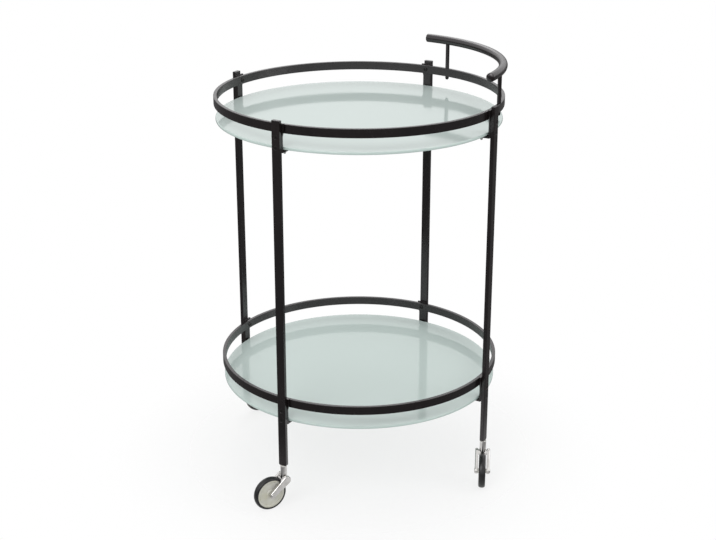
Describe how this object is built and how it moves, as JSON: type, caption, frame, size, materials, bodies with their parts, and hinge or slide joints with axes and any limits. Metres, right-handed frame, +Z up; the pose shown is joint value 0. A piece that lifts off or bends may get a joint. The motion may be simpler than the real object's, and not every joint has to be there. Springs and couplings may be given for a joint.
{
  "type": "serving cart",
  "caption": "Round serving cart on swivel casters: glass discs hang below flat-bar rings between slim legs, with a bent tube handle above the upper ring for pushing.",
  "frame": {"origin": "on the floor under the axis of the two round trays", "axes": "+Z up, +X from the axis towards the middle of the handle, -Y the front in the picture"},
  "size_m": [0.5024, 0.5, 0.7397],
  "materials": {
    "frame_finish": "satin",
    "black_screws": "satin",
    "tray_glass": "polished",
    "clear_pads": "satin",
    "nylon": "matte",
    "steel_pin": "plain",
    "chrome": "polished",
    "wheel_centre": "gloss",
    "tyre_rubber": "matte"
  },
  "bodies": {
    "frame": {"upper_ring": "frame_finish", "lower_ring": "frame_finish", "handle_bar": "frame_finish", "handle_cap_rear": "frame_finish", "handle_cap_front": "frame_finish", "handle_post_rear": "frame_finish", "handle_post_front": "frame_finish", "leg_front_right": "frame_finish", "leg_rear_right": "frame_finish", "leg_rear_left": "frame_finish", "leg_front_left": "frame_finish", "upper_bracket_front_right": "frame_finish", "upper_bracket_rear_right": "frame_finish", "upper_bracket_rear_left": "frame_finish", "upper_bracket_front_left": "frame_finish", "lower_bracket_front_right": "frame_finish", "lower_bracket_rear_right": "frame_finish", "lower_bracket_rear_left": "frame_finish", "lower_bracket_front_left": "frame_finish", "upper_ring_screws": "black_screws", "lower_ring_screws": "black_screws", "upper_bracket_screws": "black_screws", "lower_bracket_screws": "black_screws", "handle_dome_nuts": "black_screws", "upper_glass": "tray_glass", "lower_glass": "tray_glass", "upper_pads": "clear_pads", "lower_pads": "clear_pads", "swivel_washers": "nylon", "caster_pin_front_right": "steel_pin", "caster_pin_rear_right": "steel_pin", "caster_pin_rear_left": "steel_pin", "caster_pin_front_left": "steel_pin"},
    "caster_front_right": {"caster_fork_front_right": "chrome", "wheel_axle_front_right": "chrome", "axle_cap_front_right": "chrome"},
    "wheel_front_right": {"wheel_bush_front_right": "nylon", "wheel_hub_front_right": "wheel_centre", "wheel_tyre_front_right": "tyre_rubber"},
    "caster_rear_right": {"caster_fork_rear_right": "chrome", "wheel_axle_rear_right": "chrome", "axle_cap_rear_right": "chrome"},
    "wheel_rear_right": {"wheel_bush_rear_right": "nylon", "wheel_hub_rear_right": "wheel_centre", "wheel_tyre_rear_right": "tyre_rubber"},
    "caster_rear_left": {"caster_fork_rear_left": "chrome", "wheel_axle_rear_left": "chrome", "axle_cap_rear_left": "chrome"},
    "wheel_rear_left": {"wheel_bush_rear_left": "nylon", "wheel_hub_rear_left": "wheel_centre", "wheel_tyre_rear_left": "tyre_rubber"},
    "caster_front_left": {"caster_fork_front_left": "chrome", "wheel_axle_front_left": "chrome", "axle_cap_front_left": "chrome"},
    "wheel_front_left": {"wheel_bush_front_left": "nylon", "wheel_hub_front_left": "wheel_centre", "wheel_tyre_front_left": "tyre_rubber"}
  },
  "joints": [
    {"name": "swivel_front_right", "type": "hinge", "parent": "frame", "child": "caster_front_right", "pos_m": [0.18176, -0.18176, 0.066], "axis": [0, 0, 1], "continuous": true},
    {"name": "roll_front_right", "type": "hinge", "parent": "caster_front_right", "child": "wheel_front_right", "pos_m": [0.17219, -0.20807, 0.03], "axis": [0.9397, -0.342, 0], "continuous": true},
    {"name": "swivel_rear_right", "type": "hinge", "parent": "frame", "child": "caster_rear_right", "pos_m": [0.18176, 0.18176, 0.066], "axis": [0, 0, 1], "continuous": true},
    {"name": "roll_rear_right", "type": "hinge", "parent": "caster_rear_right", "child": "wheel_rear_right", "pos_m": [0.18901, 0.20881, 0.03], "axis": [-0.9659, 0.2588, 0], "continuous": true},
    {"name": "swivel_rear_left", "type": "hinge", "parent": "frame", "child": "caster_rear_left", "pos_m": [-0.18176, 0.18176, 0.066], "axis": [0, 0, 1], "continuous": true},
    {"name": "roll_rear_left", "type": "hinge", "parent": "caster_rear_left", "child": "wheel_rear_left", "pos_m": [-0.15506, 0.19018, 0.03], "axis": [-0.3007, 0.9537, 0], "continuous": true},
    {"name": "swivel_front_left", "type": "hinge", "parent": "frame", "child": "caster_front_left", "pos_m": [-0.18176, -0.18176, 0.066], "axis": [0, 0, 1], "continuous": true},
    {"name": "roll_front_left", "type": "hinge", "parent": "caster_front_left", "child": "wheel_front_left", "pos_m": [-0.20847, -0.19018, 0.03], "axis": [0.3007, -0.9537, 0], "continuous": true}
  ]
}
